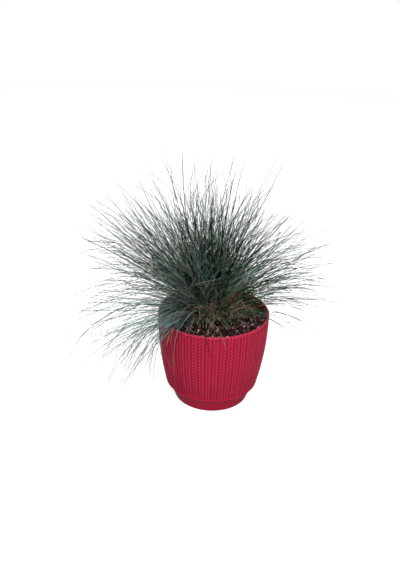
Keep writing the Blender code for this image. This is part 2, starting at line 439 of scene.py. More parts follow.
@dataclass(frozen=True)
class PlasticFinish:
    """Moulded red plastic, with painted shade deep in the knit's grooves, a painted pink highlight on its
    strands, and painted shade on the inside wall below the rim.
    """

    name: str = "red_knit_plastic"
    # The groove colour is painted shade in the knit's recesses, and also tints the random dark patches. The
    # strand colour is a painted pink highlight on the knit's strands.
    groove: Colour = (0.23, 0.003, 0.022)
    body: Colour = (0.48, 0.009, 0.046)
    strand: Colour = (0.95, 0.170, 0.270)
    # The lip's darker, greyer pink is painted shade against the top lamp's light on its upturned face.
    edge: Colour = (0.40, 0.030, 0.065)
    # The inside wall's colour: painted shade, dark red-black.
    peat: Colour = (0.030, 0.008, 0.010)
    groove_shade_relief: Span = (0.0, 0.50)
    highlight_relief: Span = (0.60, 0.95)
    patches: Patches = Patches(45.0, 1.6)
    patch_share: float = 0.22
    grain: Grain = Grain(2600.0, 0.6, 0.25, 0.0001)
    roughness: Span = (0.38, 0.52)
    gloss: float = 0.10

    def material(self, effects: SharedEffects) -> bpy.types.Material:
        """Builds the material, which reads the piece's relief, edge and inner_shade attributes.

        Args:
            effects: The shared node groups.

        Returns:
            The material.
        """
        made, shade, shader = started_material(self.name)
        relief = shade.attribute("relief")
        patches = self.patches.mask(shade, effects)
        # Low relief takes the groove's painted shade and high relief the strands' painted highlight.
        colour = shade.mix(shade.ranged(relief, self.groove_shade_relief), self.groove, self.body)
        colour = shade.mix(shade.ranged(relief, self.highlight_relief), colour, self.strand)
        colour = shade.mix(shade.ranged(patches, target=(0, self.patch_share)), colour, self.groove)
        # The lip takes its painted shade.
        colour = shade.mix(shade.attribute("edge"), colour, self.edge)
        inputs = {
            "Base Color": shade.mix(shade.attribute("inner_shade"), colour, self.peat),
            "Roughness": shade.ranged(patches, target=self.roughness),
            "Normal": self.grain.normal(shade, effects),
            "Specular IOR Level": self.gloss,
        }
        shade.fill(shader, inputs)
        return made


@dataclass(frozen=True)
class EarthFinish:
    """Loose matter: a ramp of tones, one for each bit, with a rough broken surface."""

    name: str
    ramp: Ramp
    grain: Grain = EARTH_GRAIN
    middle_tone: float = 0.55
    patches: Patches = Patches(300.0, 2.2)
    patch_share: float = 0.55
    roughness: float = 0.92
    gloss: float = 0.1

    def material(self, effects: SharedEffects) -> bpy.types.Material:
        """Builds the material, which reads the piece's tone attribute.

        Args:
            effects: The shared node groups.

        Returns:
            The material.
        """
        made, shade, shader = started_material(self.name)
        dark, middle, pale = self.ramp
        tone = shade.attribute("tone")
        patches = self.patches.mask(shade, effects)
        colour = shade.mix(shade.ranged(tone, (0, self.middle_tone)), dark, middle)
        colour = shade.mix(shade.ranged(tone, (self.middle_tone, 1)), colour, pale)
        inputs = {
            "Base Color": shade.mix(shade.ranged(patches, target=(0, self.patch_share)), colour, dark),
            "Roughness": self.roughness,
            "Normal": self.grain.normal(shade, effects),
            "Specular IOR Level": self.gloss,
        }
        shade.fill(shader, inputs)
        return made


@dataclass(frozen=True)
class BladeFinish:
    """A blade's colours at its foot, middle and tip, which its blue share mixes from two ramps."""

    name: str
    ramp: Ramp
    other_ramp: Ramp
    bloom: Colour
    brightness: Span = (1.35, 0.65)
    foot_starts: float = 0.02
    foot_ends: float = 0.16
    tip_starts: float = 0.55
    bloom_share: float = 0.25
    patches: Patches = Patches(160.0, 2.4)
    grain: Grain = Grain(3000.0, 0.5, 0.3, 0.0001)
    roughness: Span = (0.45, 0.65)
    gloss: float = 0.02

    def material(self, effects: SharedEffects) -> bpy.types.Material:
        """Builds the material, which reads the blades' along, tone and blue attributes.

        Args:
            effects: The shared node groups.

        Returns:
            The material.
        """
        made, shade, shader = started_material(self.name)
        along = shade.attribute("along")
        blue = shade.attribute("blue")
        patches = self.patches.mask(shade, effects)
        foot, middle, tip = (shade.mix(blue, *pair) for pair in zip(self.other_ramp, self.ramp))
        colour = shade.mix(shade.ranged(along, (self.foot_starts, self.foot_ends)), foot, middle)
        colour = shade.mix(shade.ranged(along, (self.tip_starts, 1)), colour, tip)
        colour = shade.mix(shade.ranged(patches, target=(0, self.bloom_share)), colour, self.bloom)
        # Each blade's tone scales its colour: partly the leaves' own differing tones, and partly painted
        # light and shade, with bright blades for lit strands and dark ones for strands in the clump's shade.
        light = shade.ranged(shade.attribute("tone"), target=self.brightness)
        inputs = {
            "Base Color": shade.mix(1.0, colour, light, "MULTIPLY"),
            "Roughness": shade.ranged(patches, target=self.roughness),
            "Normal": self.grain.normal(shade, effects),
            "Specular IOR Level": self.gloss,
        }
        shade.fill(shader, inputs)
        return made


# The other ramp's near-black foot is painted shade deep in the clump. The bluest ramp's pale foot and middle
# are the leaves' blue-grey colour, made paler as painted light on the brightly lit front-left bundle where
# the bluest leaves grow.
BLUE_LEAF = BladeFinish(
    name="blue_leaf",
    ramp=((0.235, 0.345, 0.370), (0.130, 0.176, 0.188), (0.046, 0.052, 0.057)),
    other_ramp=((0.008, 0.026, 0.007), (0.036, 0.096, 0.036), (0.060, 0.080, 0.088)),
    bloom=(0.15, 0.20, 0.18),
    brightness=(2.4, 0.05),
    foot_ends=0.55,
    tip_starts=0.36,
    bloom_share=0.06,
)
STRAW = BladeFinish(
    name="straw_leaf",
    ramp=((0.09, 0.065, 0.036), (0.35, 0.235, 0.14), (0.36, 0.28, 0.19)),
    other_ramp=((0.06, 0.042, 0.022), (0.14, 0.090, 0.048), (0.17, 0.13, 0.085)),
    bloom=(0.34, 0.26, 0.18),
    brightness=(2.1, 0.5),
)
SHEATH = BladeFinish(
    name="dry_sheath",
    ramp=((0.075, 0.055, 0.035), (0.19, 0.175, 0.115), (0.31, 0.28, 0.21)),
    other_ramp=((0.05, 0.050, 0.028), (0.078, 0.095, 0.056), (0.16, 0.175, 0.115)),
    bloom=(0.30, 0.25, 0.18),
    brightness=(2.2, 0.4),
)
YOUNG_LEAF = BladeFinish(
    name="young_leaf",
    ramp=((0.06, 0.12, 0.02), (0.07, 0.16, 0.025), (0.10, 0.20, 0.035)),
    other_ramp=((0.06, 0.12, 0.02), (0.07, 0.14, 0.02), (0.10, 0.20, 0.035)),
    bloom=(0.12, 0.22, 0.06),
)
SOIL = EarthFinish(
    name="potting_soil",
    ramp=((0.005, 0.0015, 0.002), (0.032, 0.011, 0.012), (0.17, 0.088, 0.085)),
)
BARK = EarthFinish(
    name="bark",
    ramp=((0.07, 0.024, 0.018), (0.17, 0.075, 0.058), (0.30, 0.20, 0.17)),
)
PERLITE = EarthFinish(
    name="perlite",
    ramp=((0.46, 0.40, 0.39), (0.70, 0.65, 0.64), (0.88, 0.85, 0.84)),
    grain=PERLITE_GRAIN,
)
PALE_BITS = EarthFinish(
    name="pale_bits",
    ramp=((0.16, 0.095, 0.095), (0.36, 0.25, 0.25), (0.68, 0.58, 0.58)),
    grain=PERLITE_GRAIN,
)
GREY_CLOD = EarthFinish(
    name="grey_clod",
    ramp=((0.07, 0.06, 0.065), (0.13, 0.12, 0.13), (0.22, 0.21, 0.23)),
)
OLD_BASES = EarthFinish(
    name="old_leaf_bases",
    ramp=((0.016, 0.016, 0.008), (0.044, 0.044, 0.020), (0.11, 0.09, 0.05)),
)


# ---------------------------------------------------------------- blades


@dataclass(frozen=True)
class BladeForm:
    """The section and taper that one kind of blade has."""

    steps: int = 9
    fold: float = 0.62
    hollow: float = 0.15
    foot_width: float = 0.9
    widest: float = 0.15
    taper_power: float = 3.2
    tip_width: float = 0.52

    def template(self, name: str) -> Mesh:
        """Builds a straight blade a metre long along Z: a folded section that ends in a point.

        Args:
            name: The mesh's name.

        Returns:
            The blade.
        """
        work = bmesh.new()
        bmesh.ops.create_cone(work, cap_ends=True, segments=4, radius1=1, radius2=1, depth=1)
        upright = [e for e in work.edges if abs(e.verts[0].co.z - e.verts[1].co.z) > 0.5]
        bmesh.ops.subdivide_edges(work, edges=upright, cuts=self.steps - 1)
        bmesh.ops.translate(work, verts=work.verts, vec=(0, 0, 0.5))
        for vert in work.verts:
            vert.co.y *= -self.fold if vert.co.y < 0 else -self.hollow
        tip = [vert for vert in work.verts if vert.co.z > 1 - WELD]
        bmesh.ops.pointmerge(work, verts=tip, merge_co=(0, 0, 1))
        return mesh_from(work, name)

    def half_width(self, along: np.ndarray) -> np.ndarray:
        """Tapers the blade.

        Args:
            along: Shares of its length.

        Returns:
            The share of its half width at each.
        """
        rise = np.clip(along / self.widest, 0, 1)
        fall = np.clip((along - self.widest) / (1 - self.widest), 0, 1)
        swelling = self.foot_width + (1 - self.foot_width) * rise
        return swelling * (self.tip_width + (1 - self.tip_width) * (1 - fall**self.taper_power))


BEND_POWER = 1.5
ROLL_AT_FOOT = 0.4


def direction(azimuth: np.ndarray, lean: np.ndarray) -> np.ndarray:
    """Unit vectors that lean from the vertical towards an azimuth, on a new last axis."""
    level = np.sin(lean)
    return np.stack([level * np.cos(azimuth), level * np.sin(azimuth), np.cos(lean)], axis=-1)


@dataclass
class Blades:
    """A batch of blades. Each field holds one entry a blade, and angles are in radians."""

    root: np.ndarray
    azimuth: np.ndarray
    lean: np.ndarray
    droop: np.ndarray
    length: np.ndarray
    width: np.ndarray
    sway: np.ndarray
    roll: np.ndarray
    tone: np.ndarray
    blue: np.ndarray

    def __len__(self) -> int:
        """How many blades there are."""
        return len(self.root)

    def arrays(self) -> list[np.ndarray]:
        """The fields' arrays, in order."""
        return [getattr(self, f.name) for f in fields(self)]

    def picked(self, mask: np.ndarray) -> "Blades":
        """The blades that a mask picks."""
        return Blades(*[values[mask] for values in self.arrays()])

    def joined(self, other: "Blades") -> "Blades":
        """These blades with another batch after them."""
        return Blades(*[np.concatenate(pair) for pair in zip(self.arrays(), other.arrays())])

    def lines(self, steps: int) -> tuple[np.ndarray, np.ndarray]:
        """Lays out the blades' middles.

        Args:
            steps: The straights in a blade.

        Returns:
            The points, steps + 1 a blade, and the unit directions at them.
        """
        share = (np.arange(steps) + 0.5) / steps
        bent = self.lean[:, None] + self.droop[:, None] * share**BEND_POWER
        turn = self.azimuth[:, None] + self.sway[:, None] * share
        ahead = direction(turn, bent)
        moves = ahead * (self.length / steps)[:, None, None]
        points = self.root[:, None] + np.concatenate([moves[:, :1] * 0, np.cumsum(moves, axis=1)], axis=1)
        heading = np.concatenate([ahead[:, :1], ahead[:, 1:] + ahead[:, :-1], ahead[:, -1:]], axis=1)
        return points, heading / np.linalg.norm(heading, axis=-1, keepdims=True)

    def mesh(self, name: str, form: BladeForm) -> Mesh:
        """Bends one copy of the form's template along each blade's middle.

        Args:
            name: The joined mesh's name.
            form: The section and taper.

        Returns:
            The joined mesh with its along, tone and blue attributes.
        """
        template = form.template(name)
        unit = points_of(template)
        ring = np.rint(unit[:, 2] * form.steps).astype(int)
        points, heading = self.lines(form.steps)
        level = np.stack([-np.sin(self.azimuth), np.cos(self.azimuth), 0 * self.azimuth], axis=-1)
        across = level[:, None] - (heading * level[:, None]).sum(-1, keepdims=True) * heading
        across /= np.linalg.norm(across, axis=-1, keepdims=True)
        below = np.cross(heading, across)
        share = np.linspace(0, 1, form.steps + 1)
        turn = self.roll[:, None] * (ROLL_AT_FOOT + (1 - ROLL_AT_FOOT) * share)
        side = across * np.cos(turn)[..., None] + below * np.sin(turn)[..., None]
        keel = below * np.cos(turn)[..., None] - across * np.sin(turn)[..., None]
        half = self.width[:, None] / 2 * form.half_width(share)
        offset = side[:, ring] * unit[:, 0, None] + keel[:, ring] * unit[:, 1, None]
        places = points[:, ring] + offset * half[:, ring, None]
        mesh = arrayed(template, len(self), name)
        move_points(mesh, places.reshape(-1, 3))
        add_attribute(mesh, "along", np.tile(unit[:, 2], len(self)))
        add_attribute(mesh, "tone", np.repeat(self.tone, len(unit)))
        add_attribute(mesh, "blue", np.repeat(np.clip(self.blue, 0, 1), len(unit)))
        mesh.shade_smooth()
        return mesh


@dataclass(frozen=True)
class DryBlades:
    """Short dry blades of one kind, and how they vary from each other."""

    lean: float
    droop: Spread
    length: Span
    width: Span
    sway: float
    roll: float

    def drawn(self, root: np.ndarray, azimuth: np.ndarray, lean: Any, dice: Dice) -> Blades:
        """Draws a blade at each root.

        Args:
            root: Where the blades start.
            azimuth: Where each points.
            lean: What they lean by before they vary.
            dice: The source of chance.

        Returns:
            The blades.
        """
        count = len(root)
        return Blades(
            root=root,
            azimuth=azimuth,
            lean=lean + dice.normal(0, self.lean, count),
            droop=dice.normal(*self.droop, count),
            length=dice.uniform(*self.length, count),
            width=dice.uniform(*self.width, count),
            sway=dice.normal(0, self.sway, count),
            roll=dice.uniform(-self.roll, self.roll, count),
            tone=dice.random(count),
            blue=dice.random(count),
        )


# ---------------------------------------------------------------- the pot


@dataclass
class KnitPot:
    """The round plastic pot: a plain lip, a body moulded like knitting, and a smooth foot."""

    height: float
    rim_radius: float
    finish: PlasticFinish = PlasticFinish()
    swell: float = 0.0018
    taper: float = 0.0108
    chin_height: float = 0.0212
    chin_drop: float = 0.0036
    chin_steps: int = 5
    foot_top_radius: float = 0.0485
    foot_radius: float = 0.0422
    foot_steps: int = 4
    foot_edge: float = 0.0015
    edge_steps: int = 4
    lip_height: float = 0.0011
    lip_round: float = 0.0009
    lip_inside: float = 0.0012
    lip_steps: int = 6
    wall: float = 0.0020
    wall_levels: int = 7
    floor: float = 0.0030
    floor_corner: float = 0.0020
    columns: int = 50
    column_faces: int = 11
    rows: int = 21
    row_faces: int = 6
    relief: float = 0.0011
    mean_sink: float = 0.4
    slant: float = 1.6
    strand_power: float = 1.3
    leg_start: float = 0.10
    leg_reach: float = 0.88
    leg_power: float = 0.8
    smooth_rise: float = 0.0006
    plain_relief: float = 0.55
    inner_shade_fade: float = 0.0022

    def body_radius(self, height: Any) -> Any:
        """The outer radius of the knit's strands at a height, or at an array of heights."""
        down = (self.height - height) / (self.height - self.chin_height)
        return self.rim_radius + self.swell * down - self.taper * down**2

    def inner_radius(self, height: Any) -> Any:
        """The radius of the smooth inside above the foot."""
        return self.body_radius(height) - self.wall - self.relief * self.mean_sink

    def outline(self) -> list[Pair]:
        """Lays out the pot's section.

        Returns:
            (radius, height) points from the inside floor over the rim to the base.
        """
        corner = self.foot_radius - self.wall
        inside = [(0, self.floor), (corner - self.floor_corner, self.floor)]
        inside.append((corner, self.floor + self.floor_corner))
        inside.append((self.foot_top_radius - self.wall, self.chin_height - self.chin_drop))
        levels = np.linspace(self.chin_height, self.height - self.lip_inside, self.wall_levels)
        inside += [(self.inner_radius(z), z) for z in levels]
        half = (self.rim_radius - self.inner_radius(self.height)) / 2
        middle = self.inner_radius(self.height) + half
        low = self.height - self.lip_round
        turns = steps_after(math.pi, 0, self.lip_steps)
        lip = [(middle + half * math.cos(t), low + self.lip_round * math.sin(t)) for t in turns]
        body_levels = self.rows * self.row_faces + 1
        levels = np.linspace(self.height - self.lip_height, self.chin_height, body_levels)
        body = [(self.body_radius(z), z) for z in levels]
        return inside + lip + body + self.foot_outline()

    def foot_outline(self) -> list[Pair]:
        """Lays out the section of the foot.

        Returns:
            (radius, height) points from the chin's rounding down to the base's middle.
        """
        low, drop = self.chin_height, self.chin_drop
        step = self.body_radius(low) - self.foot_top_radius
        turns = steps_after(0, math.pi / 2, self.chin_steps)
        chin = [(self.foot_top_radius + step * math.cos(t) ** 2, low - drop * math.sin(t)) for t in turns]
        top, narrowing = low - drop, self.foot_top_radius - self.foot_radius
        levels = steps_after(top, self.foot_edge, self.foot_steps)
        height = top - self.foot_edge
        foot = [(self.foot_radius + narrowing * (z - self.foot_edge) / height, z) for z in levels]
        turns = steps_after(0, math.pi / 2, self.edge_steps)
        edge = [
            (self.foot_radius - self.foot_edge * (1 - math.cos(t)), self.foot_edge * (1 - math.sin(t)))
            for t in turns
        ]
        return chin + foot + edge + [(self.foot_radius / 2, 0), (0, 0)]

    def knit(self, azimuth: np.ndarray, height: np.ndarray) -> np.ndarray:
        """Lays out the knit: each column has two legs of strands that slant to its middle.

        Args:
            azimuth: Angles round the pot.
            height: Heights on the body.

        Returns:
            The relief at each place, from 0 in a groove to 1 on a strand.
        """
        aside = np.abs((azimuth / math.tau * self.columns + 0.5) % 1 * 2 - 1)
        body = self.height - self.lip_height - self.chin_height
        row = (height - self.chin_height) / body * self.rows + self.slant * aside
        strand = (0.5 - 0.5 * np.cos(math.tau * row)) ** self.strand_power
        leg = np.sin(math.pi * (self.leg_start + self.leg_reach * aside)) ** self.leg_power
        return strand * leg

    def build(self) -> Mesh:
        """Spins the pot and raises its knit.

        Returns:
            The pot with its relief, edge and inner_shade attributes.
        """
        mesh = spun(self.outline(), self.columns * self.column_faces, "knit_pot")
        places = points_of(mesh)
        radius = np.hypot(places[:, 0], places[:, 1])
        height = places[:, 2]
        outside = radius > self.body_radius(height) - self.wall / 2
        below_lip = np.clip((self.height - self.lip_height - height) / self.smooth_rise, 0, 1)
        above_chin = np.clip((height - self.chin_height) / self.smooth_rise, 0, 1)
        fade = below_lip * above_chin
        knit = self.knit(np.arctan2(places[:, 1], places[:, 0]), height)
        sunk = outside * fade * (1 - knit)
        places[:, :2] *= (1 - self.relief * sunk / np.maximum(radius, self.wall))[:, None]
        move_points(mesh, places)
        add_attribute(mesh, "relief", np.where(outside * (fade > 0), 1 - sunk, self.plain_relief))
        on_lip = np.clip((height - self.height + self.lip_height) / self.lip_height, 0, 1)
        add_attribute(mesh, "edge", on_lip**2)
        # The inside wall below the rim is marked for painted shade, where the rim and the clump shadow it.
        inside = (height > self.chin_height) & (radius < self.inner_radius(height) + self.wall / 4)
        add_attribute(mesh, "inner_shade", inside * np.clip((self.height - height) / self.inner_shade_fade, 0, 1))
        return mesh

    def make(self, effects: SharedEffects) -> None:
        """Builds the pot and dresses it."""
        dress(self.build(), self.finish.material(effects), "pot_plastic", "pot")


# ---------------------------------------------------------------- the crown


@dataclass
class Crown:
    """The dome of old leaf bases that the shoots stand on, and the dry sheaths round their feet."""

    low: Vector
    high: Vector
    ground: float = SOIL_TOP
    shoots: int = 440
    lowest_root: float = math.radians(80)
    faces_round: int = 72
    faces_down: int = 48
    shrink: float = 0.96
    bumps: tuple[Pair, ...] = ((0.05, 6.0), (0.05, 19.0))
    smooth_foot: float = 0.02
    tone: PatchyTone = PatchyTone(0.4, 0.6, 250.0)
    sheaths_in_shoot: int = 4
    sheaths: DryBlades = DryBlades(0.22, (0.1, 0.5), (0.007, 0.026), (0.0009, 0.0021), 0.5, 2.0)
    # How far the sheaths' roots stray round the dome and down it, in radians, and how they lean
    # from the dome's top to its edge, in degrees.
    sheath_scatter: Pair = (0.08, 0.05)
    sheath_turn: float = 0.35
    sheath_depth: float = 0.002
    sheath_lean: Span = (10, 72)

    @property
    def centre(self) -> Vector:
        """The dome's middle."""
        return (self.low + self.high) / 2

    @property
    def radius(self) -> float:
        """Half the dome's width."""
        return (self.high.x - self.low.x) / 2

    def root_points(self, azimuth: np.ndarray, fall: np.ndarray, lift: float) -> np.ndarray:
        """Finds points on the dome, or lifted off it.

        Args:
            azimuth: Their azimuths.
            fall: Their angles from the dome's top.
            lift: How far they stand off the dome, below 0 where they are sunk in it.

        Returns:
            The points, one a row.
        """
        across = (self.radius + lift) * np.sin(fall)
        x = self.centre.x + across * np.cos(azimuth)
        y = self.centre.y + across * np.sin(azimuth)
        level = self.ground + (self.high.z - self.ground + lift) * np.cos(fall)
        return np.stack([x, y, level], axis=-1)

    def shoot_places(self) -> tuple[np.ndarray, np.ndarray]:
        """Packs the shoots evenly over the dome.

        Returns:
            Each shoot's azimuth, and its angle from the dome's top.
        """
        index = np.arange(self.shoots)
        fall = np.arccos(1 - (index + 0.5) / self.shoots * (1 - math.cos(self.lowest_root)))
        return index * GOLDEN_ANGLE, fall

    def build_dome(self) -> Mesh:
        """Builds the dome, closed and flat below, and makes it lumpy.

        Returns:
            The dome with its tone attribute.
        """
        work = bmesh.new()
        bmesh.ops.create_uvsphere(work, u_segments=self.faces_round, v_segments=self.faces_down, radius=1)
        height = self.high.z - self.ground
        low = (self.low.z - self.ground) / height
        parts = work.verts[:] + work.edges[:] + work.faces[:]
        cut = bmesh.ops.bisect_plane(
            work, geom=parts, plane_co=(0, 0, low), plane_no=(0, 0, -1), clear_outer=True
        )
        rim = [part for part in cut["geom_cut"] if isinstance(part, bmesh.types.BMEdge)]
        bmesh.ops.contextual_create(work, geom=rim)
        for vert in work.verts:
            bumps = sum(depth * noise.noise(vert.co * scale) for depth, scale in self.bumps)
            swollen = vert.co * (self.shrink + bumps * (vert.co.z > low + self.smooth_foot))
            vert.co.x = self.centre.x + swollen.x * self.radius
            vert.co.y = self.centre.y + swollen.y * self.radius
            vert.co.z = self.ground + swollen.z * height
        mesh = mesh_from(work, "crown_dome")
        self.tone.add_to(mesh)
        return mesh

    def draw_sheaths(self, dice: Dice) -> Blades:
        """Draws the short dry sheaths that wrap the feet of the shoots.

        Args:
            dice: The source of chance.

        Returns:
            The sheaths.
        """
        azimuth, fall = (np.repeat(a, self.sheaths_in_shoot) for a in self.shoot_places())
        count = len(azimuth)
        aside, down = (dice.normal(0, scatter, count) for scatter in self.sheath_scatter)
        root = self.root_points(azimuth + aside, fall + down, -self.sheath_depth)
        turned = azimuth + dice.normal(0, self.sheath_turn, count)
        top, edge = self.sheath_lean
        out = fall / self.lowest_root
        return self.sheaths.drawn(root, turned, np.radians(top + (edge - top) * out), dice)

    def make(self, effects: SharedEffects, dice: Dice) -> None:
        """Builds the dome and the sheaths, and dresses them.

        Args:
            effects: The shared node groups.
            dice: The source of chance.
        """
        dress(self.build_dome(), OLD_BASES.material(effects), "leaf_sheath", "crown")
        sheaths = self.draw_sheaths(dice).mesh("crown_sheaths", BladeForm(steps=4))
        dress(sheaths, SHEATH.material(effects), "leaf_sheath")


# ---------------------------------------------------------------- the soil


@dataclass(frozen=True)
class Bits:
    """Small lumps of one kind, strewn over the soil."""

    name: str
    count: int
    size: Span
    shape: tuple[float, float, float]
    uneven: float
    tone: Span
    finish: EarthFinish
    small_share: float = 2.0
    stretch: float = 0.4
    sunk: float = 0.2
    flat_tip: float = 0.12
    thick_tip: float = 1.4
    roundness: int = 1
    places: tuple[Pair, ...] = ()

    def turns(self, count: int, dice: Dice) -> np.ndarray:
        """Draws how the bits lie: any way round, and tipped the less, the flatter they are.

        Args:
            count: How many bits there are.
            dice: The source of chance.

        Returns:
            One 3 by 3 matrix for each bit.
        """
        tip = dice.normal(0, self.thick_tip * self.shape[2] + self.flat_tip, (count, 2))
        round_ways = dice.uniform(0, math.tau, count)
        made = [
            Matrix.Rotation(z, 3, "Z") @ Matrix.Rotation(x, 3, "X") @ Matrix.Rotation(y, 3, "Y")
            for z, (x, y) in zip(round_ways, tip)
        ]
        return np.array(made)

    def build(self, soil: "SoilBed", dice: Dice) -> Mesh:
        """Strews the bits.

        Args:
            soil: The bed that they lie on.
            dice: The source of chance.

        Returns:
            The joined mesh with its tone attribute.
        """
        work = bmesh.new()
        bmesh.ops.create_icosphere(work, subdivisions=self.roundness, radius=0.5)
        template = mesh_from(work, self.name)
        unit = points_of(template)
        spots = np.concatenate([soil.spots(self.count, dice), np.reshape(self.places, (-1, 2))])
        count = len(spots)
        sizes = self.size[0] + (self.size[1] - self.size[0]) * dice.random(count) ** self.small_share
        stretch = np.array(self.shape) * (1 + self.uneven * dice.normal(0, self.stretch, (count, 3)))
        dents = 1 + self.uneven * (dice.random((count, len(unit), 1)) - 0.5)
        lumps = np.einsum("nij,nvj->nvi", self.turns(count, dice), unit[None] * stretch[:, None] * dents)
        height = np.array([soil.surface(x, y) for x, y in spots]) - sizes * self.sunk
        centres = np.column_stack([spots, height])
        mesh = arrayed(template, count, self.name)
        move_points(mesh, (lumps * sizes[:, None, None] + centres[:, None]).reshape(-1, 3))
        add_attribute(mesh, "tone", np.repeat(dice.uniform(*self.tone, count), len(unit)))
        mesh.shade_flat()
        return mesh


# Where the photograph shows single perlite grains and a grey clod on the soil.
PERLITE_SPOTS = (
    (-0.0204, -0.0418),
    (-0.0104, -0.0411),
    (-0.0003, -0.0412),
    (0.0030, -0.0296),
    (0.0097, -0.0396),
)
CLOD_SPOT = ((0.0335, 0.0135),)
# Each kind's name, count, sizes, shape, unevenness, tones and finish.
LOOSE_BITS = (
    Bits("soil_crumbs", 2600, (0.0006, 0.0028), (1, 0.85, 0.7), 0.6, (0.0, 0.9), SOIL),
    Bits("soil_clods", 110, (0.0026, 0.0052), (1, 0.8, 0.6), 0.5, (0.1, 0.8), SOIL, roundness=2),
    Bits("bark_bits", 420, (0.0014, 0.0052), (1, 0.42, 0.22), 0.6, (0.0, 1.0), BARK, sunk=0.0),
    Bits("pale_bits", 480, (0.0008, 0.0030), (1, 0.7, 0.6), 0.6, (0.0, 1.0), PALE_BITS, sunk=-0.2),
    Bits(
        name="perlite_grains",
        count=60,
        size=(0.0009, 0.0021),
        shape=(1, 0.9, 0.8),
        uneven=0.4,
        tone=(0.4, 1.0),
        finish=PERLITE,
        sunk=-0.1,
        places=PERLITE_SPOTS,
    ),
    Bits(
        name="grey_clod",
        count=0,
        size=(0.0070, 0.0075),
        shape=(1, 0.62, 0.7),
        uneven=0.25,
        tone=(0.4, 0.7),
        finish=GREY_CLOD,
        roundness=3,
        places=CLOD_SPOT,
    ),
)


@dataclass
class SoilBed:
    """The potting soil: an uneven bed with crumbs, bark, perlite and root fibres on it."""

    pot: KnitPot
    crown: Crown
    top: float = SOIL_TOP
    base: float = 0.0033
    wall_gap: float = 0.0002
    foot_gap: float = 0.0025
    shoulder: float = 0.001
    wall_levels: int = 5
    rings: int = 46
    sides: int = 190
    waves: tuple[Pair, ...] = ((0.0011, 60.0), (0.0007, 190.0), (0.00035, 520.0))
    mound: float = 0.0020
    dip_at_wall: float = 0.0012
    dip_width: float = 0.006
    tone: PatchyTone = PatchyTone(0.35, 0.7, 300.0)
    spare_tries: int = 3
    clear_of_wall: float = 0.0008
    bare_crown: float = 0.85
    bits: tuple[Bits, ...] = LOOSE_BITS
    fibre_count: int = 80
    fibre_lift: float = 0.0006
    fibre_lean: float = 1.42
    fibres: DryBlades = DryBlades(0.10, (0.15, 0.2), (0.004, 0.015), (0.0003, 0.0006), 1.0, 1.0)

    def surface(self, x: float, y: float) -> float:
        """Finds how high the bed is, with its waves, its mound at the crown and its dip at the wall.

        Args:
            x: The place's x.
            y: The place's y.

        Returns:
            The height of the bed there.
        """
        height = self.top + sum(a * noise.noise(Vector((x * f, y * f, f))) for a, f in self.waves)
        near = math.hypot(x - self.crown.centre.x, y - self.crown.centre.y) / self.crown.radius
        height += self.mound * math.exp(-(near**4) / 2)
        inland = (self.pot.inner_radius(self.top) - math.hypot(x, y)) / self.dip_width
        return height - self.dip_at_wall * math.exp(-max(inland, 0))

    def spots(self, count: int, dice: Dice) -> np.ndarray:
        """Strews places evenly over the bed, clear of the wall and the crown's middle.

        Args:
            count: How many places there are.
            dice: The source of chance.

        Returns:
            Their x and y, one place a row.
        """
        tries = count * self.spare_tries
        reach = self.pot.inner_radius(self.top) - self.clear_of_wall
        radius = reach * np.sqrt(dice.random(tries))
        turn = dice.uniform(0, math.tau, tries)
        spots = np.column_stack([radius * np.cos(turn), radius * np.sin(turn)])
        away = np.hypot(spots[:, 0] - self.crown.centre.x, spots[:, 1] - self.crown.centre.y)
        return spots[away > self.crown.radius * self.bare_crown][:count]

    def build_bed(self) -> Mesh:
        """Spins the bed inside the pot and makes its top uneven.

        Returns:
            The bed with its tone attribute.
        """
        foot = self.pot.foot_radius - self.pot.wall - self.foot_gap
        levels = np.linspace(self.pot.chin_height, self.top - self.shoulder, self.wall_levels)
        edge = self.pot.inner_radius(self.top) - self.wall_gap
        profile = [(0, self.base), (foot, self.base)]
        profile += [(self.pot.inner_radius(z) - self.wall_gap, z) for z in levels]
        profile += [(edge * share, self.top) for share in np.linspace(1, 0, self.rings)]
        mesh = spun(profile, self.sides, "soil_bed")
        places = points_of(mesh)
        on_top = places[:, 2] > self.top - self.shoulder / 2
        places[on_top, 2] = [self.surface(x, y) for x, y, _ in places[on_top]]
        move_points(mesh, places)
        self.tone.add_to(mesh)
        return mesh

    def draw_fibres(self, dice: Dice) -> Blades:
        """Draws the dry fibres that lie on the soil.

        Args:
            dice: The source of chance.

        Returns:
            The fibres.
        """
        spots = self.spots(self.fibre_count, dice)
        height = [self.surface(x, y) + self.fibre_lift for x, y in spots]
        root = np.column_stack([spots, height])
        azimuth = dice.uniform(0, math.tau, self.fibre_count)
        return self.fibres.drawn(root, azimuth, self.fibre_lean, dice)

    def make(self, effects: SharedEffects, dice: Dice) -> None:
        """Builds the bed and all that lies on it, and dresses them.

        Args:
            effects: The shared node groups.
            dice: The source of chance.
        """
        dress(self.build_bed(), SOIL.material(effects), "potting_soil", "soil")
        for kind in self.bits:
            dress(kind.build(self, dice), kind.finish.material(effects), "potting_soil")
        fibres = self.draw_fibres(dice).mesh("soil_fibres", BladeForm(steps=5))
        dress(fibres, STRAW.material(effects), "potting_soil")


# ---------------------------------------------------------------- the leaves


class Side(Enum):
    """Which way round the pot a bundle of leaves points, by its middle azimuth in degrees."""

    RIGHT = 0
    BACK_RIGHT = 45
    BACK = 90
    BACK_LEFT = 135
    LEFT = 180
    FRONT_LEFT = 225
    FRONT = 270
    FRONT_RIGHT = 315

    @classmethod
    def index_of(cls, azimuth: Any) -> Any:
        """The place in the list of sides of an azimuth in radians, or of each of an array."""
        return np.rint(np.degrees(azimuth) / (360 / len(cls))).astype(int) % len(cls)


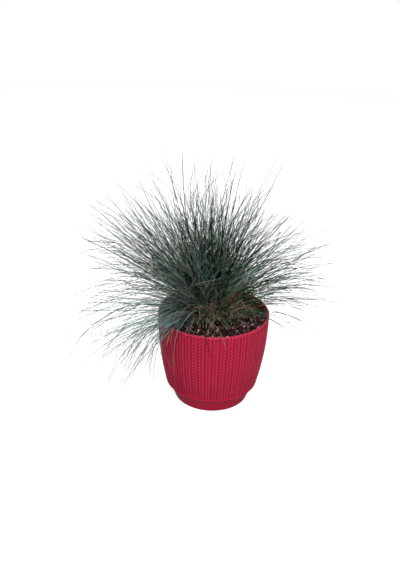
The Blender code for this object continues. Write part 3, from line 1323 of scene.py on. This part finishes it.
@dataclass(frozen=True)
class Lock:
    """Strands that keep together: where they leave the crown, how they fall, how many.

    Angles are in degrees and lengths in metres. The darkest is the tone that none goes beyond.
    """

    azimuth: float
    fall: float
    lean: float
    droop: float
    length: float
    strands: int
    spread: float = 4.0
    darkest: float = 1.0
    shares: tuple[float, float, float, float] = (1, 1, 0.5, 2.2)
    shortening: float = 0.16

    def drawn(self, dice: Dice) -> list[np.ndarray]:
        """Draws the strands, of which the first keeps the lock's exact line.

        Args:
            dice: The source of chance.

        Returns:
            The azimuth, fall, lean, droop, length and darkest tone of each strand.
        """
        line = np.array([self.azimuth, self.fall, self.lean, self.droop])
        rows = []
        for strand in range(self.strands):
            loose = min(strand, 1)
            angles = line + dice.normal(0, self.spread * loose, 4) * self.shares
            shorter = 1 - abs(dice.normal(0, self.shortening)) * loose
            rows.append(np.append(angles, (self.length * shorter, self.darkest)))
        return rows


@dataclass(frozen=True)
class Withering:
    """Dead leaves: how they differ from living ones, and the nests that they hang in."""

    count: int = 1000
    strays: float = 0.20
    # How far they stray from a nest round the crown and down it, in radians.
    scatter: Pair = (0.22, 0.15)
    highest_root: float = 0.1
    length_shares: Span = (0.25, 0.70)
    width_shares: Span = (0.75, 1.15)
    sway: Spread = (0, 0.7)
    droop: Spread = (0.2, 0.5)
    lean_shares: Span = (0.4, 1.0)
    lean: Spread = (0.05, 0.25)
    # The nests' azimuths and angles from the crown's top, in degrees. The first six are the
    # brown patches that the photograph shows.
    nests: tuple[Pair, ...] = (
        (172, 50),
        (234, 64),
        (250, 62),
        (288, 60),
        (305, 64),
        (322, 66),
        (20, 45),
        (60, 60),
        (75, 25),
        (110, 50),
        (140, 65),
        (165, 35),
        (265, 70),
        (340, 74),
    )

    def places(self, lowest_root: float, dice: Dice) -> tuple[np.ndarray, np.ndarray]:
        """Draws where the dead leaves grow.

        Args:
            lowest_root: The furthest that one grows from the crown's top.
            dice: The source of chance.

        Returns:
            Their azimuths and their angles from the crown's top.
        """
        nest = dice.integers(0, len(self.nests), self.count)
        azimuth, fall = np.radians(self.nests)[nest].T
        aside, down = (dice.normal(0, scatter, self.count) for scatter in self.scatter)
        return azimuth + aside, np.clip(fall + down, self.highest_root, lowest_root)

    def wither(self, leaves: Blades, dice: Dice) -> None:
        """Makes leaves shorter, thinner and curlier.

        Args:
            leaves: The leaves, which are changed.
            dice: The source of chance.
        """
        leaves.length *= dice.uniform(*self.length_shares, self.count)
        leaves.width *= dice.uniform(*self.width_shares, self.count)
        leaves.sway = dice.normal(*self.sway, self.count)
        leaves.droop += dice.normal(*self.droop, self.count)
        leaves.lean *= dice.uniform(*self.lean_shares, self.count)
        leaves.lean += dice.normal(*self.lean, self.count)


@dataclass(frozen=True)
class Seedling:
    """Small bright leaves that grow from one point. Angles are in degrees."""

    root: tuple[float, float, float] = (0.0105, -0.0205, 0.1050)
    azimuths: tuple[float, ...] = (285.0, 335.0, 240.0)
    leans: tuple[float, ...] = (2.0, 8.0, 10.0)
    droops: tuple[float, ...] = (60.0, 54.0, 50.0)
    lengths: tuple[float, ...] = (0.0270, 0.0230, 0.0215)
    widths: tuple[float, ...] = (0.0046, 0.0034, 0.0032)
    form: BladeForm = BladeForm(foot_width=0.12, widest=0.75, tip_width=0.1)

    def drawn(self) -> Blades:
        """Lays out the leaves, which don't twist and share one colour.

        Returns:
            The leaves.
        """
        count = len(self.azimuths)
        plain = np.zeros(count)
        return Blades(
            root=np.array([self.root] * count),
            azimuth=np.radians(self.azimuths),
            lean=np.radians(self.leans),
            droop=np.radians(self.droops),
            length=np.array(self.lengths),
            width=np.array(self.widths),
            sway=plain,
            roll=plain,
            tone=plain,
            blue=plain,
        )


@dataclass
class Tussock:
    """The clump: shoots packed over the crown, each with a fan of leaves, and loose locks."""

    pot: KnitPot
    crown: Crown
    leaves_in_shoot: int = 6
    shoot_spread: float = math.radians(16)
    leaf_spread: float = math.radians(11)
    wildness: float = 3.0
    wildest: float = 3.0
    root_scatter: float = 0.08
    root_depth: float = 0.0015
    top_share: float = 0.2
    lean_power: float = 1.2
    droop_shares: Span = (0.4, 1.6)
    more_droop: Spread = (0.10, 0.36)
    length_shares: tuple[float, float, float] = (0.34, 0.98, 1.44)
    longest: float = 0.190
    leaf_width: Span = (0.00046, 0.00073)
    sway: float = 0.50
    most_sway: float = 4.0
    roll: float = 0.9
    # Leaves are bluest at the crown's edge on one side, the front left, where they are paler: partly their
    # own blue-grey and partly painted light. A leaf's tone is partly its shoot's own, the bluer the paler,
    # and dark leaves are less blue; the wide spread of tones paints lit strands and strands in shade.
    blue_side: float = math.radians(206)
    blue: Spread = (0.08, 0.17)
    bluest: float = 0.97
    shoot_tone: float = 0.15
    paler_if_blue: float = 0.42
    contrast: float = 3.0
    middle_tone: float = 0.30
    less_blue_if_dark: float = 0.4
    neutral_tone: float = 0.4
    # Lean and droop in degrees, and length, of the leaves at the crown's top.
    top_habit: tuple[float, float, float] = (4, 14, 0.125)
    # What the leaves at the crown's edge do every 45 degrees from the right side on:
    # lean and droop in degrees, length, and the share of the shoots that grow there.
    edge_habits: tuple[tuple[float, float, float, float], ...] = (
        (62, 50, 0.150, 0.38),
        (58, 44, 0.126, 0.70),
        (54, 34, 0.116, 0.90),
        (62, 36, 0.184, 1.00),
        (66, 58, 0.170, 0.12),
        (68, 92, 0.134, 0.86),
        (30, 34, 0.076, 1.00),
        (46, 46, 0.100, 0.36),
    )
    locks: tuple[Lock, ...] = (
        Lock(183, 74, 74, 30, 0.146, 3),
        Lock(356, 50, 42, 8, 0.142, 2),
        Lock(346, 66, 62, 76, 0.138, 12, 7),
        Lock(330, 70, 62, 70, 0.112, 6, 6),
        Lock(6, 60, 62, 44, 0.150, 15, 9),
        Lock(32, 52, 50, 28, 0.160, 24, 11),
        Lock(20, 16, 8, 5, 0.163, 2),
        Lock(5, 24, 14, 14, 0.166, 2),
        Lock(128, 42, 44, 26, 0.166, 18, 12),
        Lock(154, 54, 55, 24, 0.176, 96, 11),
        Lock(166, 60, 52, 6, 0.159, 2),
        # The three front-left locks are held paler and bluer: painted light on the brightly lit lower-left
        # bundle.
        Lock(217, 80, 74, 66, 0.150, 15, 8, 0.5),
        Lock(226, 78, 71, 80, 0.152, 18, 9, 0.5),
        Lock(234, 76, 66, 96, 0.142, 11, 8, 0.5),
        Lock(244, 72, 62, 100, 0.090, 2, 4),
    )
    lowest_lock: float = 82
    lock_sway: Spread = (-0.06, 0.32)
    lock_tones: Span = (0.2, 1.0)
    lock_blue: Span = (0.0, 0.7)
    withering: Withering = Withering()
    seedling: Seedling = Seedling()
    # Bare soil, and the bare front of the pot, that the photograph shows before the clump: lowest
    # and highest x and y, each seen along the photograph's slope. Few leaves hang over them.
    bare_soil: tuple[tuple[Span, Span], ...] = (
        ((-0.032, 0.050), (-0.200, -0.018)),
        ((0.022, 0.058), (-0.030, 0.018)),
        ((0.038, 0.062), (0.000, 0.036)),
    )
    strays: float = 0.07
    # How blades are kept off the soil, the pot and the frame's limits, in small steps.
    tested_steps: int = 24
    steps_in_crown: int = 2
    reach_steps: int = 8
    margin: float = 0.0006
    soil_clearance: float = 0.002
    wall_clearance: float = 0.0002
    slack: float = 0.008
    nudges: int = 16
    raising: float = math.radians(1.3)
    straightening: float = 0.93
    shortening: float = 0.95

    def edge_habit(self, azimuth: np.ndarray) -> tuple[np.ndarray, ...]:
        """Mixes the habits on both sides of each azimuth.

        Args:
            azimuth: The azimuths.

        Returns:
            The lean and droop in radians, the length, and the share of the shoots that grow.
        """
        table = np.array(self.edge_habits)
        turn = azimuth % math.tau / math.tau * len(table)
        low = turn.astype(int) % len(table)
        mixed = (1 - np.cos(math.pi * (turn % 1))) / 2
        habit = table[low] + mixed[:, None] * (table[(low + 1) % len(table)] - table[low])
        return np.radians(habit[:, 0]), np.radians(habit[:, 1]), habit[:, 2], habit[:, 3]

    def thinned(self, blades: Blades, strays: float, dice: Dice) -> Blades:
        """Keeps each side's share of the blades, and few of those that hang over the bare soil.

        Args:
            blades: The blades as drawn.
            strays: The share that stays over the bare soil.
            dice: The source of chance.

        Returns:
            The blades that are kept.
        """
        share = self.edge_habit(blades.azimuth)[3]
        points, _ = blades.lines(self.tested_steps)
        x = points[..., 0]
        seen_at = points[..., 1] + (points[..., 2] - self.crown.ground) / math.tan(VIEW_SLOPE)
        for (left, right), (near, far) in self.bare_soil:
            over = (x > left) & (x < right) & (seen_at > near) & (seen_at < far)
            share = np.where(over.sum(axis=1) > 1, strays, share)
        return blades.picked(dice.random(len(blades)) < share)

    def clear(self, blades: Blades) -> np.ndarray:
        """Finds the blades that stay off the soil, the pot's wall and its rim.

        Args:
            blades: The blades.

        Returns:
            A mask of them.
        """
        points = blades.lines(self.tested_steps)[0][:, self.steps_in_crown :]
        reach = np.hypot(points[..., 0], points[..., 1])
        height = points[..., 2]
        inside = self.pot.inner_radius(self.pot.height) - self.margin
        in_pot = (reach < inside) & (height > self.crown.ground + self.soil_clearance)
        over = height > self.pot.height + self.margin
        outside = reach > self.pot.rim_radius + self.margin + self.wall_clearance
        return (in_pot | over | outside).all(axis=1)

    def settled(self, blades: Blades) -> Blades:
        """Raises blades that touch the pot or the soil, and shortens those that reach too far.

        Args:
            blades: The blades, which are changed.

        Returns:
            The blades that are clear in the end.
        """
        low, high = (np.array(corner) for corner in cad_box)
        for _ in range(self.nudges):
            touching = ~self.clear(blades)
            blades.lean[touching] -= self.raising
            blades.droop[touching] *= self.straightening
            points, _ = blades.lines(self.reach_steps)
            beyond = (points < low - self.slack) | (points > high + self.slack)
            blades.length[beyond.any(axis=(1, 2))] *= self.shortening
        kept = blades.picked(self.clear(blades))
        LOG.info("%d of %d blades kept", len(kept), len(blades))
        return kept

    def draw(self, azimuth: np.ndarray, fall: np.ndarray, tilt: np.ndarray, dice: Dice) -> Blades:
        """Draws one leaf for each shoot given.

        Args:
            azimuth: The shoots' azimuths.
            fall: Their angles from the crown's top.
            tilt: How far each shoot itself is tipped aside and outwards, in two rows.
            dice: The source of chance.

        Returns:
            The leaves.
        """
        count = len(azimuth)
        edge_lean, edge_droop, edge_length, _ = self.edge_habit(azimuth)
        top_lean, top_droop = map(math.radians, self.top_habit[:2])
        top_length = self.top_habit[2]
        out = fall / self.crown.lowest_root
        lean = top_lean + (edge_lean - top_lean) * out**self.lean_power
        droop = top_droop + (edge_droop - top_droop) * out**2
        length = top_length + (edge_length - top_length) * out
        loose = np.clip(dice.standard_t(self.wildness, (2, count)), -self.wildest, self.wildest)
        aside, under = np.tan(tilt + self.leaf_spread * loose)
        level = direction(azimuth + math.pi / 2, np.full(count, math.pi / 2))
        lower = direction(azimuth, lean + math.pi / 2)
        ahead = direction(azimuth, lean) + level * aside[:, None] + lower * under[:, None]
        ahead /= np.linalg.norm(ahead, axis=-1, keepdims=True)
        turned, sunk = dice.normal(0, self.root_scatter, (2, count))
        turned /= np.maximum(out, self.top_share)
        near_blue = np.clip(np.cos(azimuth - self.blue_side), 0, 1)
        blue, blue_spread = self.blue
        return Blades(
            root=self.crown.root_points(azimuth + turned, fall + sunk, -self.root_depth),
            azimuth=np.arctan2(ahead[:, 1], ahead[:, 0]),
            lean=np.arccos(np.clip(ahead[:, 2], -1, 1)),
            droop=droop * dice.uniform(*self.droop_shares, count) + dice.normal(*self.more_droop, count),
            length=np.minimum(length * dice.triangular(*self.length_shares, count), self.longest),
            width=dice.uniform(*self.leaf_width, count),
            sway=self.sway * np.clip(dice.standard_t(self.wildness, count), -self.most_sway, self.most_sway),
            roll=dice.normal(0, self.roll, count),
            tone=dice.random(count),
            blue=blue + self.bluest * (out * near_blue) ** 2 + dice.normal(0, blue_spread, count),
        )

    def draw_leaves(self, dice: Dice) -> Blades:
        """Draws every shoot's living leaves.

        Args:
            dice: The source of chance.

        Returns:
            The leaves.
        """
        shoots, fan = self.crown.shoots, self.leaves_in_shoot
        azimuth, fall = (np.repeat(a, fan) for a in self.crown.shoot_places())
        tilt = np.repeat(dice.normal(0, self.shoot_spread, (2, shoots)), fan, axis=1)
        leaves = self.draw(azimuth, fall, tilt, dice)
        tone = (1 - self.shoot_tone) * leaves.tone + self.shoot_tone * np.repeat(dice.random(shoots), fan)
        tone -= self.paler_if_blue * np.clip(leaves.blue, 0, 1)
        leaves.tone = np.clip(0.5 + self.contrast * (tone - self.middle_tone), 0, 1)
        leaves.blue += self.less_blue_if_dark * (self.neutral_tone - leaves.tone)
        return self.settled(self.thinned(leaves, self.strays, dice))

    def draw_locks(self, dice: Dice) -> Blades:
        """Draws the strands of every lock.

        Args:
            dice: The source of chance.

        Returns:
            The strands.
        """
        rows = np.array([row for lock in self.locks for row in lock.drawn(dice)])
        rows[:, 1] = np.minimum(rows[:, 1], self.lowest_lock)
        azimuth, fall, lean, droop = np.radians(rows[:, :4]).T
        length, darkest = rows[:, 4:].T
        count = len(rows)
        strands = Blades(
            root=self.crown.root_points(azimuth, fall, 0),
            azimuth=azimuth,
            lean=lean,
            droop=droop,
            length=length,
            width=dice.uniform(*self.leaf_width, count),
            sway=dice.normal(*self.lock_sway, count),
            roll=dice.normal(0, self.roll, count),
            tone=dice.uniform(*self.lock_tones, count) * darkest,
            blue=dice.uniform(*self.lock_blue, count) + 1 - darkest,
        )
        return self.settled(strands)

    def draw_withered(self, dice: Dice) -> Blades:
        """Draws the dead leaves.

        Args:
            dice: The source of chance.

        Returns:
            The leaves.
        """
        azimuth, fall = self.withering.places(self.crown.lowest_root, dice)
        tilt = dice.normal(0, self.shoot_spread, (2, len(azimuth)))
        dead = self.draw(azimuth, fall, tilt, dice)
        self.withering.wither(dead, dice)
        return self.settled(self.thinned(dead, self.withering.strays, dice))

    def tuft_nodes(self) -> list[list[str]]:
        """Sorts the frame's leaf nodes by the side that each one's middle lies on.

        Returns:
            The nodes' names for each side.
        """
        found = [[] for _ in Side]
        for name in sorted(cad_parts):
            if "leaf" in name:
                low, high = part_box(name)
                middle = (low + high) / 2 - self.crown.centre
                found[Side.index_of(math.atan2(middle.y, middle.x))].append(name)
        return found

    def make(self, effects: SharedEffects, dice: Dice) -> None:
        """Draws the leaves, living and dead, and dresses them.

        Args:
            effects: The shared node groups.
            dice: The source of chance.
        """
        leaves = self.draw_leaves(dice).joined(self.draw_locks(dice))
        sides = Side.index_of(leaves.azimuth)
        blue = BLUE_LEAF.material(effects)
        for index, (side, nodes) in enumerate(zip(Side, self.tuft_nodes())):
            bundle = leaves.picked(sides == index)
            dress(bundle.mesh(f"leaves_{side.name.lower()}", BladeForm()), blue, "leaf_blade", *nodes)
        withered = self.draw_withered(dice).mesh("withered_leaves", BladeForm())
        dress(withered, STRAW.material(effects), "leaf_blade")
        young = self.seedling.drawn().mesh("young_leaves", self.seedling.form)
        dress(young, YOUNG_LEAF.material(effects), "leaf_blade")


# ---------------------------------------------------------------- the studio


@dataclass(frozen=True)
class Lamp:
    """A soft square light: where it hangs, the length of its side and its power in watts."""

    name: str
    place: tuple[float, float, float]
    size: float
    power: float


@dataclass
class Studio:
    """A plain pale floor, soft light and the camera at the photograph's angle."""

    aim: Vector
    distance: float = 0.75
    roll: float = math.radians(2.14)
    focal_pixels: float = 678.75
    long_side: float = 570.0
    off_centre: Pair = (13.8, 25.5)
    sensor: float = 36.0
    floor_radius: float = 2.2
    floor_drop: float = 0.0002
    floor_sides: int = 96
    floor_patches: Patches = Patches(3.0, 1.0)
    floor_tones: Span = (0.46, 0.50)
    floor_glow: float = 0.84
    floor_roughness: float = 0.8
    floor_gloss: float = 0.1
    room_light: float = 0.16
    lamps: tuple[Lamp, ...] = (
        Lamp("key", (0.12, -0.95, 1.15), 0.5, 21),
        Lamp("top", (-0.2, 0.1, 1.4), 0.6, 18),
    )

    def make_camera(self) -> None:
        """Places the camera so that the aim lies where the photograph has it."""
        data = bpy.data.cameras.new("camera")
        data.sensor_width = self.sensor
        data.lens = self.focal_pixels / self.long_side * self.sensor
        data.shift_x = -self.off_centre[0] / self.long_side
        data.shift_y = self.off_centre[1] / self.long_side
        camera = placed("camera", data)
        back = Vector((0, -math.cos(VIEW_SLOPE), math.sin(VIEW_SLOPE)))
        tilt = Matrix.Rotation(math.pi / 2 - VIEW_SLOPE, 4, "X") @ Matrix.Rotation(self.roll, 4, "Z")
        camera.matrix_world = Matrix.Translation(self.aim + back * self.distance) @ tilt
        bpy.context.scene.camera = camera

    def make_light(self, lamp: Lamp) -> None:
        """Adds a lamp that faces the object.

        Args:
            lamp: The lamp.
        """
        data = bpy.data.lights.new(lamp.name, "AREA")
        data.size = lamp.size
        data.energy = lamp.power
        place = Vector(lamp.place)
        turn = (place - self.aim).to_track_quat("Z", "Y").to_matrix().to_4x4()
        placed(lamp.name, data).matrix_world = Matrix.Translation(place) @ turn

    def make_world(self) -> None:
        """Fills the surroundings with even white light."""
        world = bpy.data.worlds.new("white_room")
        world.use_nodes = True
        shade = Shading(world.node_tree)
        strength = shade.ranged(shade.seen(), target=(self.room_light, 1))
        shade.fill(world.node_tree.nodes["Background"], {"Color": (1, 1, 1, 1), "Strength": strength})
        bpy.context.scene.world = world

    def make_floor(self, effects: SharedEffects) -> None:
        """Lays the floor that the pot stands on.

        Args:
            effects: The shared node groups.
        """
        work = bmesh.new()
        bmesh.ops.create_circle(work, cap_ends=True, segments=self.floor_sides, radius=self.floor_radius)
        bmesh.ops.translate(work, verts=work.verts, vec=(0, 0, -self.floor_drop))
        mesh = bpy.data.meshes.new("floor")
        work.to_mesh(mesh)
        work.free()
        made, shade, shader = started_material("pale_floor")
        low, high = ((tone, tone, tone) for tone in self.floor_tones)
        inputs = {
            "Base Color": shade.mix(self.floor_patches.mask(shade, effects), low, high),
            "Emission Color": shade.mix(shade.seen(), (0, 0, 0), (1, 1, 1)),
            "Emission Strength": self.floor_glow,
            "Roughness": self.floor_roughness,
            "Specular IOR Level": self.floor_gloss,
        }
        shade.fill(shader, inputs)
        mesh.materials.append(made)
        floor = placed("floor", mesh)

    def make(self, effects: SharedEffects) -> None:
        """Sets up the whole studio.

        Args:
            effects: The shared node groups.
        """
        bpy.context.scene.view_settings.view_transform = "Standard"
        self.make_camera()
        self.make_floor(effects)
        self.make_world()
        for lamp in self.lamps:
            self.make_light(lamp)


def main() -> None:
    """Builds every piece in order and reports it."""
    logging.basicConfig(level=logging.INFO, format="%(message)s")
    effects = SharedEffects.build()
    dice = np.random.default_rng(SEED)
    _, pot_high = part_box("pot")
    crown_low, crown_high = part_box("crown")
    pot = KnitPot(height=pot_high.z, rim_radius=pot_high.x)
    crown = Crown(low=crown_low, high=crown_high)
    pot.make(effects)
    SoilBed(pot=pot, crown=crown).make(effects, dice)
    crown.make(effects, dice)
    Tussock(pot=pot, crown=crown).make(effects, dice)
    Studio(aim=Vector((0, 0, pot.height))).make(effects)


if __name__ == "__main__":
    main()
